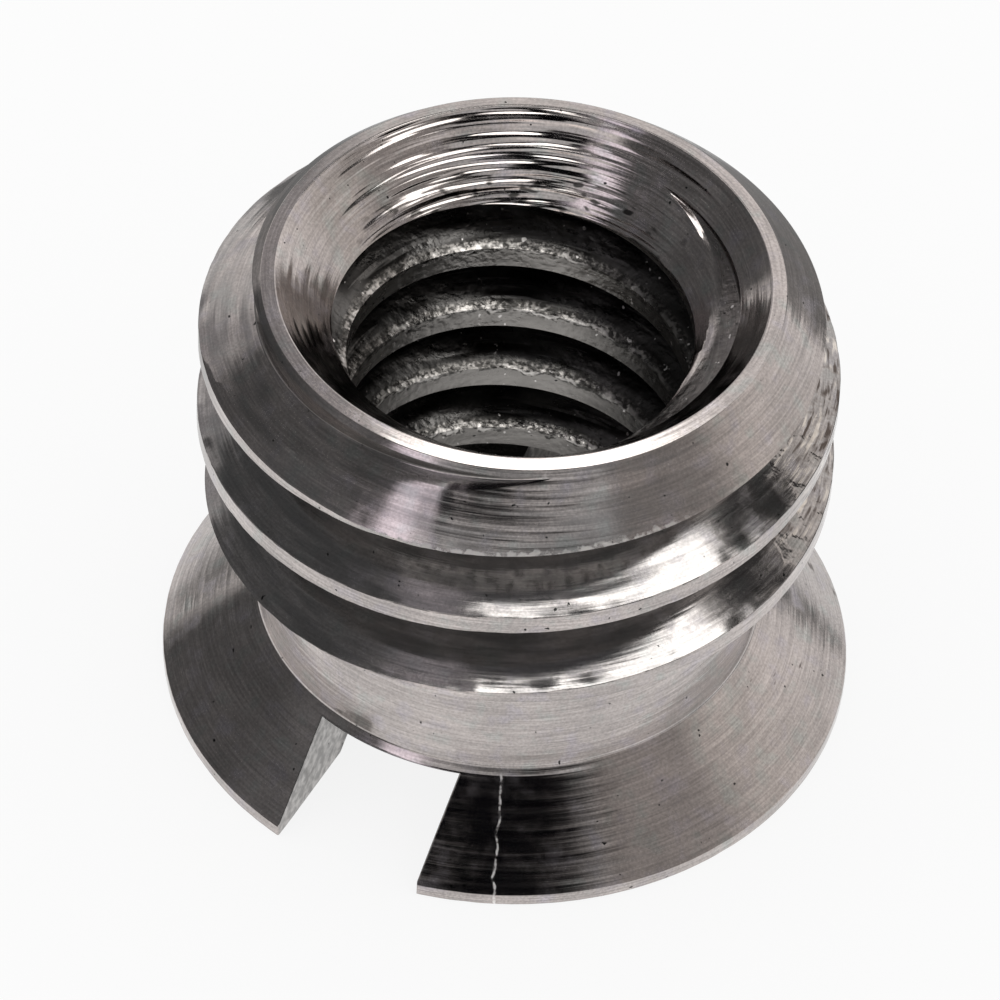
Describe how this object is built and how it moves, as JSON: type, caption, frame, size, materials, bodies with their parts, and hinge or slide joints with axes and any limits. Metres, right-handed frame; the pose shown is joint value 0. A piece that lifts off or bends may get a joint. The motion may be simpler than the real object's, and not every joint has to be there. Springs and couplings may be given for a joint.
{
  "type": "tripod reducer bushing",
  "caption": "Turned steel sleeve with a coarse outer thread, a smaller inner thread, a conical flange and a screwdriver slot, which adapts a large camera socket to a small tripod screw.",
  "frame": {"origin": "centre of the flange's flat end, on the thread axis", "axes": "+Z along the thread axis from the flange to the crown, +Y along the screwdriver slot"},
  "size_m": [0.0104, 0.01, 0.0079],
  "materials": {
    "steel": "turned, with burrs and scratches"
  },
  "bodies": {
    "root": {"bushing": "steel"}
  },
  "joints": []
}
